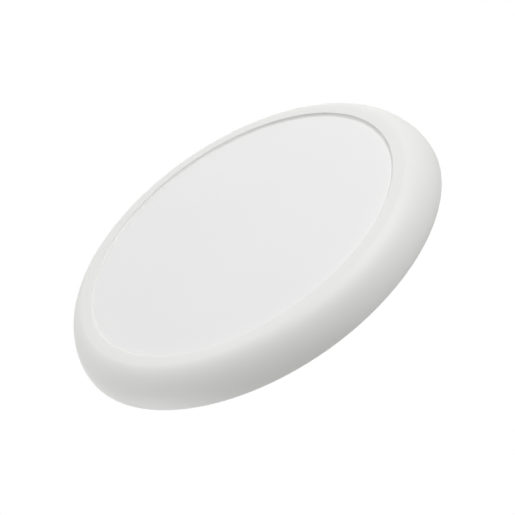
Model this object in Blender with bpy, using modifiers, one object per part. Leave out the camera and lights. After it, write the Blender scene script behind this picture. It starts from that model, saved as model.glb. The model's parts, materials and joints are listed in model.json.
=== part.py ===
"""Concealed pendent fire sprinkler head with a round white cover.

Metres, +Z up. The origin lies on the pipe thread's axis, in the plane of the fitting's face.
Everything but the thread hangs below that plane: the valve with its levers and link inside a cup,
then the deflector, and last the trim ring and the cover that are seen from the room.
"""

import math

import bmesh
import bpy

MM = 0.001

# Gaps between pieces
SEAT_GAP = 0.3 * MM
SLIDE_GAP = 0.2 * MM
FILM_GAP = 0.1 * MM

# Small broken edges
EDGE_CHAMFER = 0.2 * MM
EDGE_ROUND = 0.25 * MM

# Body: half inch pipe thread, hexagon, boss and two frame arms
THREAD_RADIUS = 10.6 * MM
THREAD_LENGTH = 11.0 * MM
THREAD_TAPER = 1.0 / 32.0
THREAD_PITCH = 1.814 * MM
THREAD_DEPTH = 1.2 * MM
THREAD_RUN_OUT = 1.5 * MM
THREAD_CHAMFER = 0.9 * MM
WATERWAY_RADIUS = 5.5 * MM
HEX_ACROSS_FLATS = 24.0 * MM
HEX_HEIGHT = 4.0 * MM
BOSS_RADIUS = 10.0 * MM
BOSS_HEIGHT = 3.3 * MM
VALVE_BORE_RADIUS = 7.2 * MM
VALVE_SEAT_HEIGHT = 1.8 * MM
ARM_LENGTH = 4.7 * MM
ARM_WIDTH = 8.0 * MM
LEDGE_HEIGHT = 1.5 * MM
LEDGE_REACH = 1.9 * MM

# Valve, saddle and screw
SEAL_THICKNESS = 0.6 * MM
SEAL_CONE = 0.8 * MM
CAP_FLANGE = 1.8 * MM
CAP_BOSS = 1.0 * MM
CAP_STEM_RADIUS = 2.6 * MM
CAP_NOSE = 0.9 * MM
SADDLE_THICKNESS = 2.2 * MM
SADDLE_WIDTH = 6.0 * MM
SADDLE_HEEL_OFFSET = 1.7 * MM
SCREW_RADIUS = 1.9 * MM
SCREW_PROUD = 1.0 * MM
SCREW_POINT = 0.8 * MM
SCREW_SLOT = 0.7 * MM
SCREW_SLOT_DEPTH = 0.9 * MM

# Levers and fusible link
PIVOT_INSET = 0.6 * MM
LEVER_WIDTH = 3.6 * MM
LEVER_THICKNESS = 1.2 * MM
LEVER_HEEL = 1.4 * MM
LEVER_TO_SCREW = 0.9 * MM
LEVER_NOTCH = 0.35 * MM
LEVER_FILLET = 0.5 * MM
LEVER_CHAMFER = 0.3 * MM
LINK_PLATE = 0.5 * MM
LINK_WIDTH = 8.0 * MM
LINK_END = 1.1 * MM
LINK_CORNER = 1.2 * MM
LINK_TO_LEVER = 0.4 * MM
LINK_CLEARANCE = 1.5 * MM
SOLDER_FILM = 0.2 * MM
SOLDER_END_INSET = 0.2 * MM
SOLDER_SIDE_INSET = 0.4 * MM

# Cup, guide tubes, pins and deflector
CUP_RADIUS = 25.4 * MM
CUP_WALL = 0.9 * MM
CUP_DEPTH = 11.5 * MM
CUP_BEND = 2.2 * MM
CUP_VENTS = 8
CUP_VENT_WIDTH = 4.0 * MM
SNAP_RING_WIDTH = 2.2 * MM
SNAP_RING_THICKNESS = 0.8 * MM
SNAP_RING_OPENING = math.radians(44.0)
SNAP_RING_SEAT = 0.73 * MM
PIN_RADIUS = 1.0 * MM
PIN_HEAD_RADIUS = 1.6 * MM
PIN_HEAD = 0.8 * MM
PIN_TENON_RADIUS = 0.65 * MM
TUBE_WALL = 0.55 * MM
TUBE_LENGTH = 11.5 * MM
TUBE_FLOOR = 1.0 * MM
TUBE_BELOW_FITTING = 0.5 * MM
TUBE_COLLAR = 0.8 * MM
TUBE_COLLAR_LEDGE = 0.9 * MM
HEX_TO_COLLAR = 0.5 * MM
DEFLECTOR_THICKNESS = 0.9 * MM
DEFLECTOR_EDGE = 3.6 * MM
DEFLECTOR_TINES = 12
DEFLECTOR_SLOT = 2.0 * MM
DEFLECTOR_SLOT_DEPTH = 7.0 * MM

# Retainer, trim and cover
FITTING_TO_CEILING = 12.5 * MM
TRIM_HEIGHT = 7.6 * MM
TRIM_TUCK = 1.0 * MM
TRIM_WIDEST = 1.0 * MM
TRIM_ROUND = 5.05 * MM
TRIM_CURVE = 1.73
TRIM_WALL = 1.0 * MM
TRIM_LIP_EDGE = 1.0 * MM
TRIM_LIP = 1.0 * MM
CROWN_WIDTH = 2.4 * MM
FACE_STEP = 0.55 * MM
COVER_THICKNESS = 0.8 * MM
COVER_LIP = 1.2 * MM
RETAINER_WALL = 0.8 * MM
SKIRT_HEIGHT = 7.6 * MM
SKIRT_SLOTS = 6
SKIRT_SLOT_WIDTH = 2.0 * MM
SKIRT_SLOT_DEPTH = 5.0 * MM
RIVET_RADIUS = 0.6 * MM
RIVET_HEAD_RADIUS = 1.1 * MM
RIVET_HEAD = 0.6 * MM
TAB_WIDTH = 5.0 * MM
TAB_SHEET = 0.5 * MM
TAB_FILM = 0.25 * MM
CLIP_SPACE = 5.75 * MM
SPRING_SHEET = 0.35 * MM
SPRING_LENGTH = 15.0 * MM
SPRING_WIDTH = 4.4 * MM
SPRING_FIXING = 2.2 * MM
SPRING_TOE = 0.5 * MM
CLIP_COUNT = 3

FINE_STEPS = 60
MEDIUM_STEPS = 48
THREAD_STEPS = 32
ROD_STEPS = 20
SMALL_STEPS = 12
SPRING_STEPS = 16
MARKER_SIZE = 5.0 * MM

# Heights of the body and of the valve
HEX_BOTTOM = -HEX_HEIGHT
BOSS_BOTTOM = HEX_BOTTOM - BOSS_HEIGHT
ARM_BOTTOM = BOSS_BOTTOM - ARM_LENGTH
LEDGE_TOP = ARM_BOTTOM + LEDGE_HEIGHT
SEAL_OUTER_TOP = VALVE_SEAT_HEIGHT - SEAT_GAP
SEAL_INNER_BOTTOM = SEAL_OUTER_TOP - SEAL_THICKNESS - SEAL_CONE
CAP_TOP = SEAL_INNER_BOTTOM - SEAT_GAP
CAP_BOTTOM = CAP_TOP - CAP_FLANGE - CAP_BOSS

# Heights of the trim and of the cover, counted from the ceiling
CEILING = -FITTING_TO_CEILING
CROWN = CEILING - TRIM_HEIGHT
TRIM_LIP_TOP = CROWN + TRIM_WALL + RIVET_HEAD + 2.0 * SEAT_GAP + TRIM_LIP
FLANGE_BOTTOM = TRIM_LIP_TOP + SEAT_GAP
FLANGE_TOP = FLANGE_BOTTOM + RETAINER_WALL
COVER_FACE = CROWN + FACE_STEP
COVER_BACK = COVER_FACE + COVER_THICKNESS

# Heights of the deflector and of the link above it
DEFLECTOR_BOTTOM = COVER_BACK + SEAT_GAP
DEFLECTOR_TOP = DEFLECTOR_BOTTOM + DEFLECTOR_THICKNESS
LINK_BOTTOM = DEFLECTOR_TOP + LINK_CLEARANCE
LINK_FILM_BOTTOM = LINK_BOTTOM + LINK_PLATE + FILM_GAP
LINK_UPPER_BOTTOM = LINK_FILM_BOTTOM + SOLDER_FILM + FILM_GAP

# Distances from the axis
HEX_CORNER = HEX_ACROSS_FLATS / math.sqrt(3.0)
ARM_INNER = VALVE_BORE_RADIUS + FILM_GAP
LEDGE_INNER = ARM_INNER - LEDGE_REACH
PIVOT_X = LEDGE_INNER + PIVOT_INSET
PIVOT_Z = LEDGE_TOP + SEAT_GAP
LEVER_INNER = SCREW_RADIUS + LEVER_TO_SCREW
LEVER_OUTER = LEVER_INNER + LEVER_THICKNESS
SADDLE_END = PIVOT_X - SADDLE_HEEL_OFFSET
SADDLE_BOTTOM = PIVOT_Z + LEVER_HEEL + SEAT_GAP
TUBE_BORE = PIN_HEAD_RADIUS + SLIDE_GAP
TUBE_RADIUS = TUBE_BORE + TUBE_WALL
TUBE_COLLAR_RADIUS = TUBE_RADIUS + TUBE_COLLAR_LEDGE
GUIDE_Y = HEX_ACROSS_FLATS / 2.0 + HEX_TO_COLLAR + TUBE_COLLAR_RADIUS
DEFLECTOR_RADIUS = GUIDE_Y + DEFLECTOR_EDGE
WEB_TOP = HEX_BOTTOM - SEAT_GAP
WEB_BOTTOM = WEB_TOP - CUP_WALL
SKIRT_INNER = CUP_RADIUS + SEAT_GAP
SKIRT_OUTER = SKIRT_INNER + RETAINER_WALL
CLIP_CIRCLE = SKIRT_OUTER + 2.0 * SEAT_GAP + CLIP_SPACE / 2.0
COVER_LIP_INNER = CLIP_CIRCLE + CLIP_SPACE / 2.0 + 2.0 * SEAT_GAP
COVER_RADIUS = COVER_LIP_INNER + COVER_THICKNESS
FACE_RADIUS = COVER_RADIUS + SEAT_GAP
CROWN_RADIUS = FACE_RADIUS + CROWN_WIDTH
TRIM_RADIUS = CROWN_RADIUS + TRIM_ROUND
TRIM_RIVET_CIRCLE = FACE_RADIUS + TRIM_WALL + SEAT_GAP + RIVET_HEAD_RADIUS
TRIM_LIP_RADIUS = TRIM_RIVET_CIRCLE + TRIM_LIP_EDGE


def make_collection(name):
    collection = bpy.data.collections.new(name)
    bpy.context.scene.collection.children.link(collection)
    return collection


def make_material(name, colour, roughness, metallic):
    material = bpy.data.materials.new(name)
    material.use_nodes = True
    shader = material.node_tree.nodes["Principled BSDF"]
    shader.inputs["Base Color"].default_value = (*colour, 1.0)
    shader.inputs["Roughness"].default_value = roughness
    shader.inputs["Metallic"].default_value = metallic
    return material


def add_object(name, data, collection):
    obj = bpy.data.objects.new(name, data)
    collection.objects.link(obj)
    return obj


def add_empty(name, location, parent=None):
    empty = add_object(name, None, PARTS)
    empty.empty_display_size = MARKER_SIZE
    empty.location = location
    empty.parent = parent
    return empty


def finish(obj, parent, finish_name):
    """Give a piece its parent and its own material."""
    colour, roughness, metallic = FINISHES[finish_name]
    obj.data.materials.append(make_material(obj.name + "_" + finish_name, colour, roughness, metallic))
    obj.parent = parent
    return obj


def turned(name, profile, steps, closed, collection):
    """Spin a profile of (radius, height) points about Z; it runs down on its outer side."""
    count = len(profile)
    points = [(radius, 0.0, height) for radius, height in profile]
    edges = [(i, i + 1) for i in range(count - 1)]
    if closed:
        edges.append((count - 1, 0))
    mesh = bpy.data.meshes.new(name)
    mesh.from_pydata(points, edges, [])
    obj = add_object(name, mesh, collection)
    screw = obj.modifiers.new("spin", "SCREW")
    screw.axis = "Z"
    screw.steps = steps
    screw.render_steps = steps
    screw.use_merge_vertices = True
    screw.merge_threshold = 0.000001
    return obj


def flat(name, outlines, thickness, collection):
    """A flat piece from closed outlines in its own XY plane; later outlines are holes."""
    curve = bpy.data.curves.new(name, "CURVE")
    curve.dimensions = "2D"
    curve.fill_mode = "BOTH"
    curve.extrude = thickness / 2.0
    for outline in outlines:
        spline = curve.splines.new("POLY")
        spline.points.add(len(outline) - 1)
        spline.use_cyclic_u = True
        for point, (x, y) in zip(spline.points, outline):
            point.co = (x, y, 0.0, 1.0)
    return add_object(name, curve, collection)


def box(name, low, high, collection):
    mesh = bpy.data.meshes.new(name)
    shape = bmesh.new()
    bmesh.ops.create_cube(shape, size=1.0)
    shape.to_mesh(mesh)
    shape.free()
    obj = add_object(name, mesh, collection)
    obj.location = [(a + b) / 2.0 for a, b in zip(low, high)]
    obj.scale = [b - a for a, b in zip(low, high)]
    return obj


def cylinder(name, radius, low, high, sides, collection):
    mesh = bpy.data.meshes.new(name)
    shape = bmesh.new()
    bmesh.ops.create_cone(
        shape, cap_ends=True, segments=sides, radius1=radius, radius2=radius, depth=high - low
    )
    shape.to_mesh(mesh)
    shape.free()
    obj = add_object(name, mesh, collection)
    obj.location = (0.0, 0.0, (low + high) / 2.0)
    return obj


def combine(obj, tool, operation):
    """Cut or join a piece with a helper solid, which stays out of the picture."""
    tool.hide_render = True
    tool.display_type = "WIRE"
    step = obj.modifiers.new(tool.name, "BOOLEAN")
    step.operation = operation
    step.solver = "EXACT"
    step.object = tool


def around(index, count, start=0.0):
    return start + 2.0 * math.pi * index / count


def turn_about_axis(obj, angle, distance):
    """Move a piece out along X, then round the main axis."""
    height = obj.location.z
    obj.location = (distance * math.cos(angle), distance * math.sin(angle), height)
    obj.rotation_euler.z += angle


def arc(centre_x, centre_y, radius, start, end, count):
    points = []
    for i in range(count + 1):
        angle = start + (end - start) * i / count
        points.append((centre_x + radius * math.cos(angle), centre_y + radius * math.sin(angle)))
    return points


def circle(centre_x, centre_y, radius, count):
    return arc(centre_x, centre_y, radius, 0.0, 2.0 * math.pi * (count - 1) / count, count - 1)


def rectangle(low_x, low_y, high_x, high_y):
    return [(low_x, low_y), (high_x, low_y), (high_x, high_y), (low_x, high_y)]


def thread_point(row, step):
    """A point of the pipe thread; the rows of points climb along the helix."""
    turn, corner = divmod(row, len(THREAD_FORM))
    share, sunk = THREAD_FORM[corner]
    angle = around(step, THREAD_STEPS)
    height = THREAD_PITCH * (turn + share + step / THREAD_STEPS - THREAD_LEAD_IN)
    cut = THREAD_DEPTH * sunk * min(max(height / THREAD_RUN_OUT, 0.0), 1.0)
    radius = THREAD_RADIUS - THREAD_TAPER * height - cut
    return (radius * math.cos(angle), radius * math.sin(angle), height)


def make_thread():
    """Tapered thread as one closed solid, longer at both ends than the part needs."""
    form = len(THREAD_FORM)
    turns = math.ceil(THREAD_LENGTH / THREAD_PITCH) + 2 * THREAD_LEAD_IN
    rows = form * turns
    points = [thread_point(row, step) for row in range(rows) for step in range(THREAD_STEPS)]
    faces = []
    for row in range(rows - 1):
        for step in range(THREAD_STEPS):
            here = row * THREAD_STEPS + step
            following = here + 1
            if step == THREAD_STEPS - 1:
                following = (row + form) * THREAD_STEPS
            if following + THREAD_STEPS < len(points):
                faces.append((here, following, following + THREAD_STEPS, here + THREAD_STEPS))
    last = (rows - 1) * THREAD_STEPS
    bottom = list(range(THREAD_STEPS)) + [THREAD_STEPS * row for row in range(form, 0, -1)]
    top = [last + step for step in range(THREAD_STEPS)]
    top += [last - THREAD_STEPS * row + THREAD_STEPS - 1 for row in range(1, form + 1)]
    for loop, height, inward in ((bottom, points[0][2], True), (top, points[-1][2], False)):
        middle = len(points)
        points.append((0.0, 0.0, height))
        for first, second in zip(loop, loop[1:] + loop[:1]):
            faces.append((middle, second, first) if inward else (middle, first, second))
    mesh = bpy.data.meshes.new("body")
    mesh.from_pydata(points, [], faces)
    return add_object("body", mesh, PARTS)


def make_body(parent):
    """Thread, hexagon, boss and arms in one casting, then the waterway and the lever space."""
    thread_end = THREAD_RADIUS - THREAD_LENGTH * THREAD_TAPER
    blank = [
        (0.0, THREAD_LENGTH),
        (thread_end - THREAD_CHAMFER, THREAD_LENGTH),
        (HEX_CORNER, THREAD_LENGTH - THREAD_CHAMFER - HEX_CORNER + thread_end),
        (HEX_CORNER, HEX_BOTTOM / 2.0),
        (0.0, HEX_BOTTOM / 2.0),
    ]
    body = make_thread()
    combine(body, turned("body_blank", blank, MEDIUM_STEPS, False, TOOLS), "INTERSECT")
    hexagon = cylinder("body_hexagon", HEX_CORNER, HEX_BOTTOM, 0.0, 6, TOOLS)
    hexagon.rotation_euler.z = math.radians(30.0)
    combine(body, hexagon, "UNION")
    boss = cylinder("body_boss", BOSS_RADIUS, ARM_BOTTOM, HEX_BOTTOM / 2.0, MEDIUM_STEPS, TOOLS)
    combine(body, boss, "UNION")
    bore = [
        (0.0, THREAD_LENGTH + MM),
        (WATERWAY_RADIUS, THREAD_LENGTH + MM),
        (WATERWAY_RADIUS, VALVE_SEAT_HEIGHT),
        (VALVE_BORE_RADIUS, VALVE_SEAT_HEIGHT),
        (VALVE_BORE_RADIUS, BOSS_BOTTOM - MM),
        (0.0, BOSS_BOTTOM - MM),
    ]
    combine(body, turned("body_bore", bore, MEDIUM_STEPS, False, TOOLS), "DIFFERENCE")
    reach = BOSS_RADIUS + MM
    half = ARM_WIDTH / 2.0
    wide = box(
        "body_lever_space", (-ARM_INNER, -reach, LEDGE_TOP), (ARM_INNER, reach, BOSS_BOTTOM), TOOLS
    )
    combine(body, wide, "DIFFERENCE")
    narrow = box(
        "body_ledge_space",
        (-LEDGE_INNER, -reach, ARM_BOTTOM - MM),
        (LEDGE_INNER, reach, LEDGE_TOP + MM),
        TOOLS,
    )
    combine(body, narrow, "DIFFERENCE")
    for name, low, high in (("front", -reach, -half), ("back", half, reach)):
        side = box(
            "body_open_" + name, (-reach, low, ARM_BOTTOM - MM), (reach, high, BOSS_BOTTOM), TOOLS
        )
        combine(body, side, "DIFFERENCE")
    groove_top = WEB_BOTTOM - SEAT_GAP + FILM_GAP
    groove_bottom = groove_top - SNAP_RING_THICKNESS - 2.0 * FILM_GAP
    groove = [
        (BOSS_RADIUS + MM, groove_top),
        (BOSS_RADIUS + MM, groove_bottom),
        (BOSS_RADIUS - SNAP_RING_SEAT, groove_bottom),
        (BOSS_RADIUS - SNAP_RING_SEAT, groove_top),
    ]
    combine(body, turned("body_groove", groove, MEDIUM_STEPS, True, TOOLS), "DIFFERENCE")
    return finish(body, parent, "brass")


def make_valve(parent):
    """Cap, conical spring seal, saddle and the screw that loads them."""
    seal_inner = CAP_STEM_RADIUS + SEAT_GAP
    seal_outer = (VALVE_BORE_RADIUS + WATERWAY_RADIUS) / 2.0
    stem_top = VALVE_SEAT_HEIGHT + SEAL_THICKNESS
    cap = [
        (0.0, stem_top),
        (CAP_STEM_RADIUS - CAP_NOSE, stem_top - EDGE_CHAMFER),
        (CAP_STEM_RADIUS, stem_top - CAP_NOSE),
        (CAP_STEM_RADIUS, CAP_TOP),
        (seal_outer, CAP_TOP),
        (seal_outer, CAP_TOP - CAP_FLANGE),
        (2.0 * SCREW_RADIUS, CAP_TOP - CAP_FLANGE),
        (2.0 * SCREW_RADIUS, CAP_BOTTOM),
        (0.0, CAP_BOTTOM),
    ]
    finish(turned("valve_cap", cap, ROD_STEPS, False, PARTS), parent, "bronze")
    seal = [
        (seal_inner, SEAL_INNER_BOTTOM + SEAL_THICKNESS),
        (seal_outer, SEAL_OUTER_TOP),
        (seal_outer, SEAL_OUTER_TOP - SEAL_THICKNESS),
        (seal_inner, SEAL_INNER_BOTTOM),
    ]
    finish(turned("spring_seal", seal, ROD_STEPS, True, PARTS), parent, "nickel")

    half = SADDLE_WIDTH / 2.0
    saddle_top = SADDLE_BOTTOM + SADDLE_THICKNESS
    saddle = box("saddle", (-SADDLE_END, -half, SADDLE_BOTTOM), (SADDLE_END, half, saddle_top), PARTS)
    hole = cylinder(
        "saddle_hole", SCREW_RADIUS + FILM_GAP, SADDLE_BOTTOM - MM, saddle_top + MM, ROD_STEPS, TOOLS
    )
    combine(saddle, hole, "DIFFERENCE")
    finish(saddle, parent, "brass")

    top = CAP_BOTTOM - SEAT_GAP
    bottom = SADDLE_BOTTOM - SCREW_PROUD
    screw_profile = [
        (0.0, top),
        (SCREW_RADIUS - SCREW_POINT, top),
        (SCREW_RADIUS, top - SCREW_POINT),
        (SCREW_RADIUS, bottom + EDGE_CHAMFER),
        (SCREW_RADIUS - EDGE_CHAMFER, bottom),
        (0.0, bottom),
    ]
    screw = turned("compression_screw", screw_profile, ROD_STEPS, False, PARTS)
    reach = SCREW_RADIUS + MM
    half_slot = SCREW_SLOT / 2.0
    slot = box(
        "screw_slot",
        (-reach, -half_slot, bottom - MM),
        (reach, half_slot, bottom + SCREW_SLOT_DEPTH),
        TOOLS,
    )
    combine(screw, slot, "DIFFERENCE")
    finish(screw, parent, "steel")


def make_lever(name, side, parent):
    """One lever about its pivot: toe on the ledge, heel under the saddle, arm down to the link."""
    toe = ARM_INNER - SEAT_GAP - PIVOT_X
    inner = LEVER_INNER - PIVOT_X
    outer = LEVER_OUTER - PIVOT_X
    tip = LINK_BOTTOM - SEAT_GAP - PIVOT_Z
    if side > 0:
        hook_bottom = LINK_UPPER_BOTTOM - SEAT_GAP - PIVOT_Z
    else:
        hook_bottom = LINK_BOTTOM - FILM_GAP - PIVOT_Z
    hook_top = hook_bottom + LINK_PLATE + 2.0 * SEAT_GAP
    outline = [(toe, 0.0), (toe, LEVER_HEEL - LEVER_CHAMFER), (toe - LEVER_CHAMFER, LEVER_HEEL)]
    outline += arc(
        inner + LEVER_FILLET, LEVER_HEEL - LEVER_FILLET, LEVER_FILLET, math.pi / 2.0, math.pi, 4
    )
    outline += [(inner, tip), (outer, tip)]
    outline += [(outer, hook_bottom), (outer - LEVER_NOTCH, hook_bottom)]
    outline += [(outer - LEVER_NOTCH, hook_top), (outer, hook_top)]
    outline += arc(outer + LEVER_FILLET, -LEVER_FILLET, LEVER_FILLET, math.pi, math.pi / 2.0, 4)
    outline = [(side * x, z) for x, z in outline]
    lever = flat(name, [outline], LEVER_WIDTH, PARTS)
    lever.rotation_euler.x = math.pi / 2.0
    return finish(lever, parent, "bronze")


def make_link_plate(name, side, bottom, parent):
    """Half of the link: a flat plate with a slot for its lever's tip."""
    far = LEVER_OUTER + SEAT_GAP + LINK_END
    near = -(LEVER_INNER - LINK_TO_LEVER)
    half = LINK_WIDTH / 2.0
    outline = arc(far - LINK_CORNER, half - LINK_CORNER, LINK_CORNER, 0.0, math.pi / 2.0, 4)
    outline += [(near, half), (near, -half)]
    outline += arc(far - LINK_CORNER, LINK_CORNER - half, LINK_CORNER, -math.pi / 2.0, 0.0, 4)
    slot_half = LEVER_WIDTH / 2.0 + SEAT_GAP
    slot = rectangle(LEVER_INNER - SEAT_GAP, -slot_half, LEVER_OUTER + SEAT_GAP, slot_half)
    outlines = [[(side * x, y) for x, y in shape] for shape in (outline, slot)]
    plate = flat(name, outlines, LINK_PLATE, PARTS)
    plate.location.z = bottom + LINK_PLATE / 2.0
    return finish(plate, parent, "nickel")


def make_link_solder(parent):
    half_x = LEVER_INNER - LINK_TO_LEVER - SOLDER_END_INSET
    half_y = LINK_WIDTH / 2.0 - SOLDER_SIDE_INSET
    film = box(
        "link_solder",
        (-half_x, -half_y, LINK_FILM_BOTTOM),
        (half_x, half_y, LINK_FILM_BOTTOM + SOLDER_FILM),
        PARTS,
    )
    return finish(film, parent, "solder")


def make_cup(parent):
    """Drawn cup under the hexagon, with vents in its web, and the ring that holds it."""
    hole = BOSS_RADIUS + SEAT_GAP
    bottom = WEB_TOP - CUP_DEPTH
    bend = CUP_RADIUS - CUP_BEND
    profile = [(hole, WEB_TOP)]
    profile += arc(bend, WEB_TOP - CUP_BEND, CUP_BEND, math.pi / 2.0, 0.0, 4)
    profile += [(CUP_RADIUS, bottom), (CUP_RADIUS - CUP_WALL, bottom)]
    profile += arc(bend, WEB_TOP - CUP_BEND, CUP_BEND - CUP_WALL, 0.0, math.pi / 2.0, 3)
    profile += [(hole, WEB_BOTTOM)]
    cup = turned("support_cup", profile, FINE_STEPS, True, PARTS)
    vent_inner = GUIDE_Y + TUBE_COLLAR_RADIUS + SEAT_GAP
    vent_outer = CUP_RADIUS - CUP_BEND * 0.7
    middle = (vent_inner + vent_outer) / 2.0
    half = (vent_outer - vent_inner) / 2.0
    for index in range(CUP_VENTS):
        vent = box(
            "cup_vent_%d" % (index + 1),
            (-half, -CUP_VENT_WIDTH / 2.0, WEB_BOTTOM - 2.0 * MM),
            (half, CUP_VENT_WIDTH / 2.0, WEB_TOP + MM),
            TOOLS,
        )
        turn_about_axis(vent, around(index, CUP_VENTS), middle)
        combine(cup, vent, "DIFFERENCE")
    for name, y in GUIDES:
        tube_hole = cylinder(
            "cup_hole_" + name, TUBE_RADIUS + SEAT_GAP, WEB_BOTTOM - MM, WEB_TOP + MM, ROD_STEPS, TOOLS
        )
        tube_hole.location.y = y
        combine(cup, tube_hole, "DIFFERENCE")
    finish(cup, parent, "steel")

    ring_inner = BOSS_RADIUS - SNAP_RING_SEAT + FILM_GAP
    ring_outer = ring_inner + SNAP_RING_WIDTH
    half_gap = SNAP_RING_OPENING / 2.0
    start = math.pi / 4.0 + half_gap
    end = math.pi / 4.0 + 2.0 * math.pi - half_gap
    outline = arc(0.0, 0.0, ring_outer, start, end, THREAD_STEPS)
    outline += arc(0.0, 0.0, ring_inner, end, start, THREAD_STEPS)
    ring = flat("cup_snap_ring", [outline], SNAP_RING_THICKNESS, PARTS)
    ring.location.z = WEB_BOTTOM - SEAT_GAP - SNAP_RING_THICKNESS / 2.0
    finish(ring, parent, "dark_steel")


def make_guide_tube(name, y, parent):
    """Tube swaged into the cup's web; its floor stops the pin's head."""
    top = -TUBE_BELOW_FITTING
    bottom = top - TUBE_LENGTH
    collar = WEB_TOP + SEAT_GAP
    swage = WEB_BOTTOM - SEAT_GAP
    profile = [
        (TUBE_RADIUS, top),
        (TUBE_RADIUS, collar + TUBE_COLLAR),
        (TUBE_COLLAR_RADIUS, collar + TUBE_COLLAR),
        (TUBE_COLLAR_RADIUS, collar),
        (TUBE_RADIUS, collar),
        (TUBE_RADIUS, swage),
        (TUBE_COLLAR_RADIUS - EDGE_CHAMFER, swage),
        (TUBE_RADIUS, swage - TUBE_COLLAR),
        (TUBE_RADIUS, bottom),
        (PIN_RADIUS + SLIDE_GAP, bottom),
        (PIN_RADIUS + SLIDE_GAP, bottom + TUBE_FLOOR),
        (TUBE_BORE, bottom + TUBE_FLOOR),
        (TUBE_BORE, top),
    ]
    tube = turned("guide_tube_" + name, profile, ROD_STEPS, True, PARTS)
    tube.location.y = y
    return finish(tube, parent, "steel")


def make_guide_pin(name, y, parent):
    """Headed pin whose lower end is peened into the deflector."""
    top = -TUBE_BELOW_FITTING - FILM_GAP
    profile = [
        (0.0, top),
        (PIN_HEAD_RADIUS, top),
        (PIN_HEAD_RADIUS, top - PIN_HEAD),
        (PIN_RADIUS, top - PIN_HEAD),
        (PIN_RADIUS, DEFLECTOR_TOP + SEAT_GAP),
        (PIN_TENON_RADIUS, DEFLECTOR_TOP + SEAT_GAP),
        (PIN_TENON_RADIUS, DEFLECTOR_BOTTOM),
        (0.0, DEFLECTOR_BOTTOM),
    ]
    pin = turned("guide_pin_" + name, profile, ROD_STEPS, False, PARTS)
    pin.location.y = y
    return finish(pin, parent, "stainless")


def make_deflector(parent):
    """Flat plate with a tine between each pair of slots; the pins stand on two of the tines."""
    half = DEFLECTOR_SLOT / 2.0
    root = DEFLECTOR_RADIUS - DEFLECTOR_SLOT_DEPTH + half
    edge = math.asin(half / DEFLECTOR_RADIUS)
    step = 2.0 * math.pi / DEFLECTOR_TINES
    outline = []
    for index in range(DEFLECTOR_TINES):
        slot = around(index, DEFLECTOR_TINES, step / 2.0)
        rounded = arc(root, 0.0, half, -math.pi / 2.0, -1.5 * math.pi, 6)
        for x, y in rounded:
            turned_x = x * math.cos(slot) - y * math.sin(slot)
            turned_y = x * math.sin(slot) + y * math.cos(slot)
            outline.append((turned_x, turned_y))
        outline += arc(0.0, 0.0, DEFLECTOR_RADIUS, slot + edge, slot + step - edge, 5)
    holes = [circle(0.0, y, PIN_TENON_RADIUS + FILM_GAP, 16) for name, y in GUIDES]
    plate = flat("deflector", [outline] + holes, DEFLECTOR_THICKNESS, PARTS)
    plate.location.z = DEFLECTOR_BOTTOM + DEFLECTOR_THICKNESS / 2.0
    return finish(plate, parent, "bronze")


def make_retainer(parent):
    """Slotted skirt that grips the cup, with the flange for the trim and the cover."""
    top = FLANGE_TOP + SKIRT_HEIGHT
    profile = [
        (SKIRT_INNER, top),
        (SKIRT_OUTER, top),
        (SKIRT_OUTER, FLANGE_TOP),
        (TRIM_LIP_RADIUS, FLANGE_TOP),
        (TRIM_LIP_RADIUS, FLANGE_BOTTOM),
        (SKIRT_INNER, FLANGE_BOTTOM),
    ]
    retainer = turned("retainer", profile, FINE_STEPS, True, PARTS)
    for index in range(SKIRT_SLOTS):
        slot = box(
            "retainer_slot_%d" % (index + 1),
            (-MM, -SKIRT_SLOT_WIDTH / 2.0, top - SKIRT_SLOT_DEPTH),
            (MM, SKIRT_SLOT_WIDTH / 2.0, top + MM),
            TOOLS,
        )
        middle = (SKIRT_INNER + SKIRT_OUTER) / 2.0
        turn_about_axis(slot, around(index, SKIRT_SLOTS, SLOT_START), middle)
        combine(retainer, slot, "DIFFERENCE")
    for index in range(CLIP_COUNT):
        for kind, angle, distance in (
            ("trim", around(index, CLIP_COUNT, RIVET_START), TRIM_RIVET_CIRCLE),
            ("spring", around(index, CLIP_COUNT, SPRING_START), CLIP_CIRCLE),
        ):
            hole = cylinder(
                "retainer_%s_hole_%d" % (kind, index + 1),
                RIVET_RADIUS + SEAT_GAP,
                FLANGE_BOTTOM - MM,
                FLANGE_TOP + MM,
                SMALL_STEPS,
                TOOLS,
            )
            turn_about_axis(hole, angle, distance)
            if kind == "spring":
                along_spring(hole, angle)
            combine(retainer, hole, "DIFFERENCE")
    return finish(retainer, parent, "steel")


def along_spring(obj, angle):
    """Shift a piece from the middle of a leaf spring to its fixed end."""
    shift = SPRING_FIXING - SPRING_LENGTH / 2.0
    obj.location.x -= shift * math.sin(angle)
    obj.location.y += shift * math.cos(angle)


def rim_curve(widest, tall, count):
    """The rounded outside of the trim, from its widest line down to the crown."""
    points = []
    top = CEILING - TRIM_WIDEST
    for i in range(count + 1):
        angle = math.pi / 2.0 * i / count
        out = max(math.cos(angle), 0.0) ** (2.0 / TRIM_CURVE)
        down = math.sin(angle) ** (2.0 / TRIM_CURVE)
        radius = CROWN_RADIUS + (widest - CROWN_RADIUS) * out
        points.append((radius, top - (tall - TRIM_WIDEST) * down))
    return points


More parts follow.
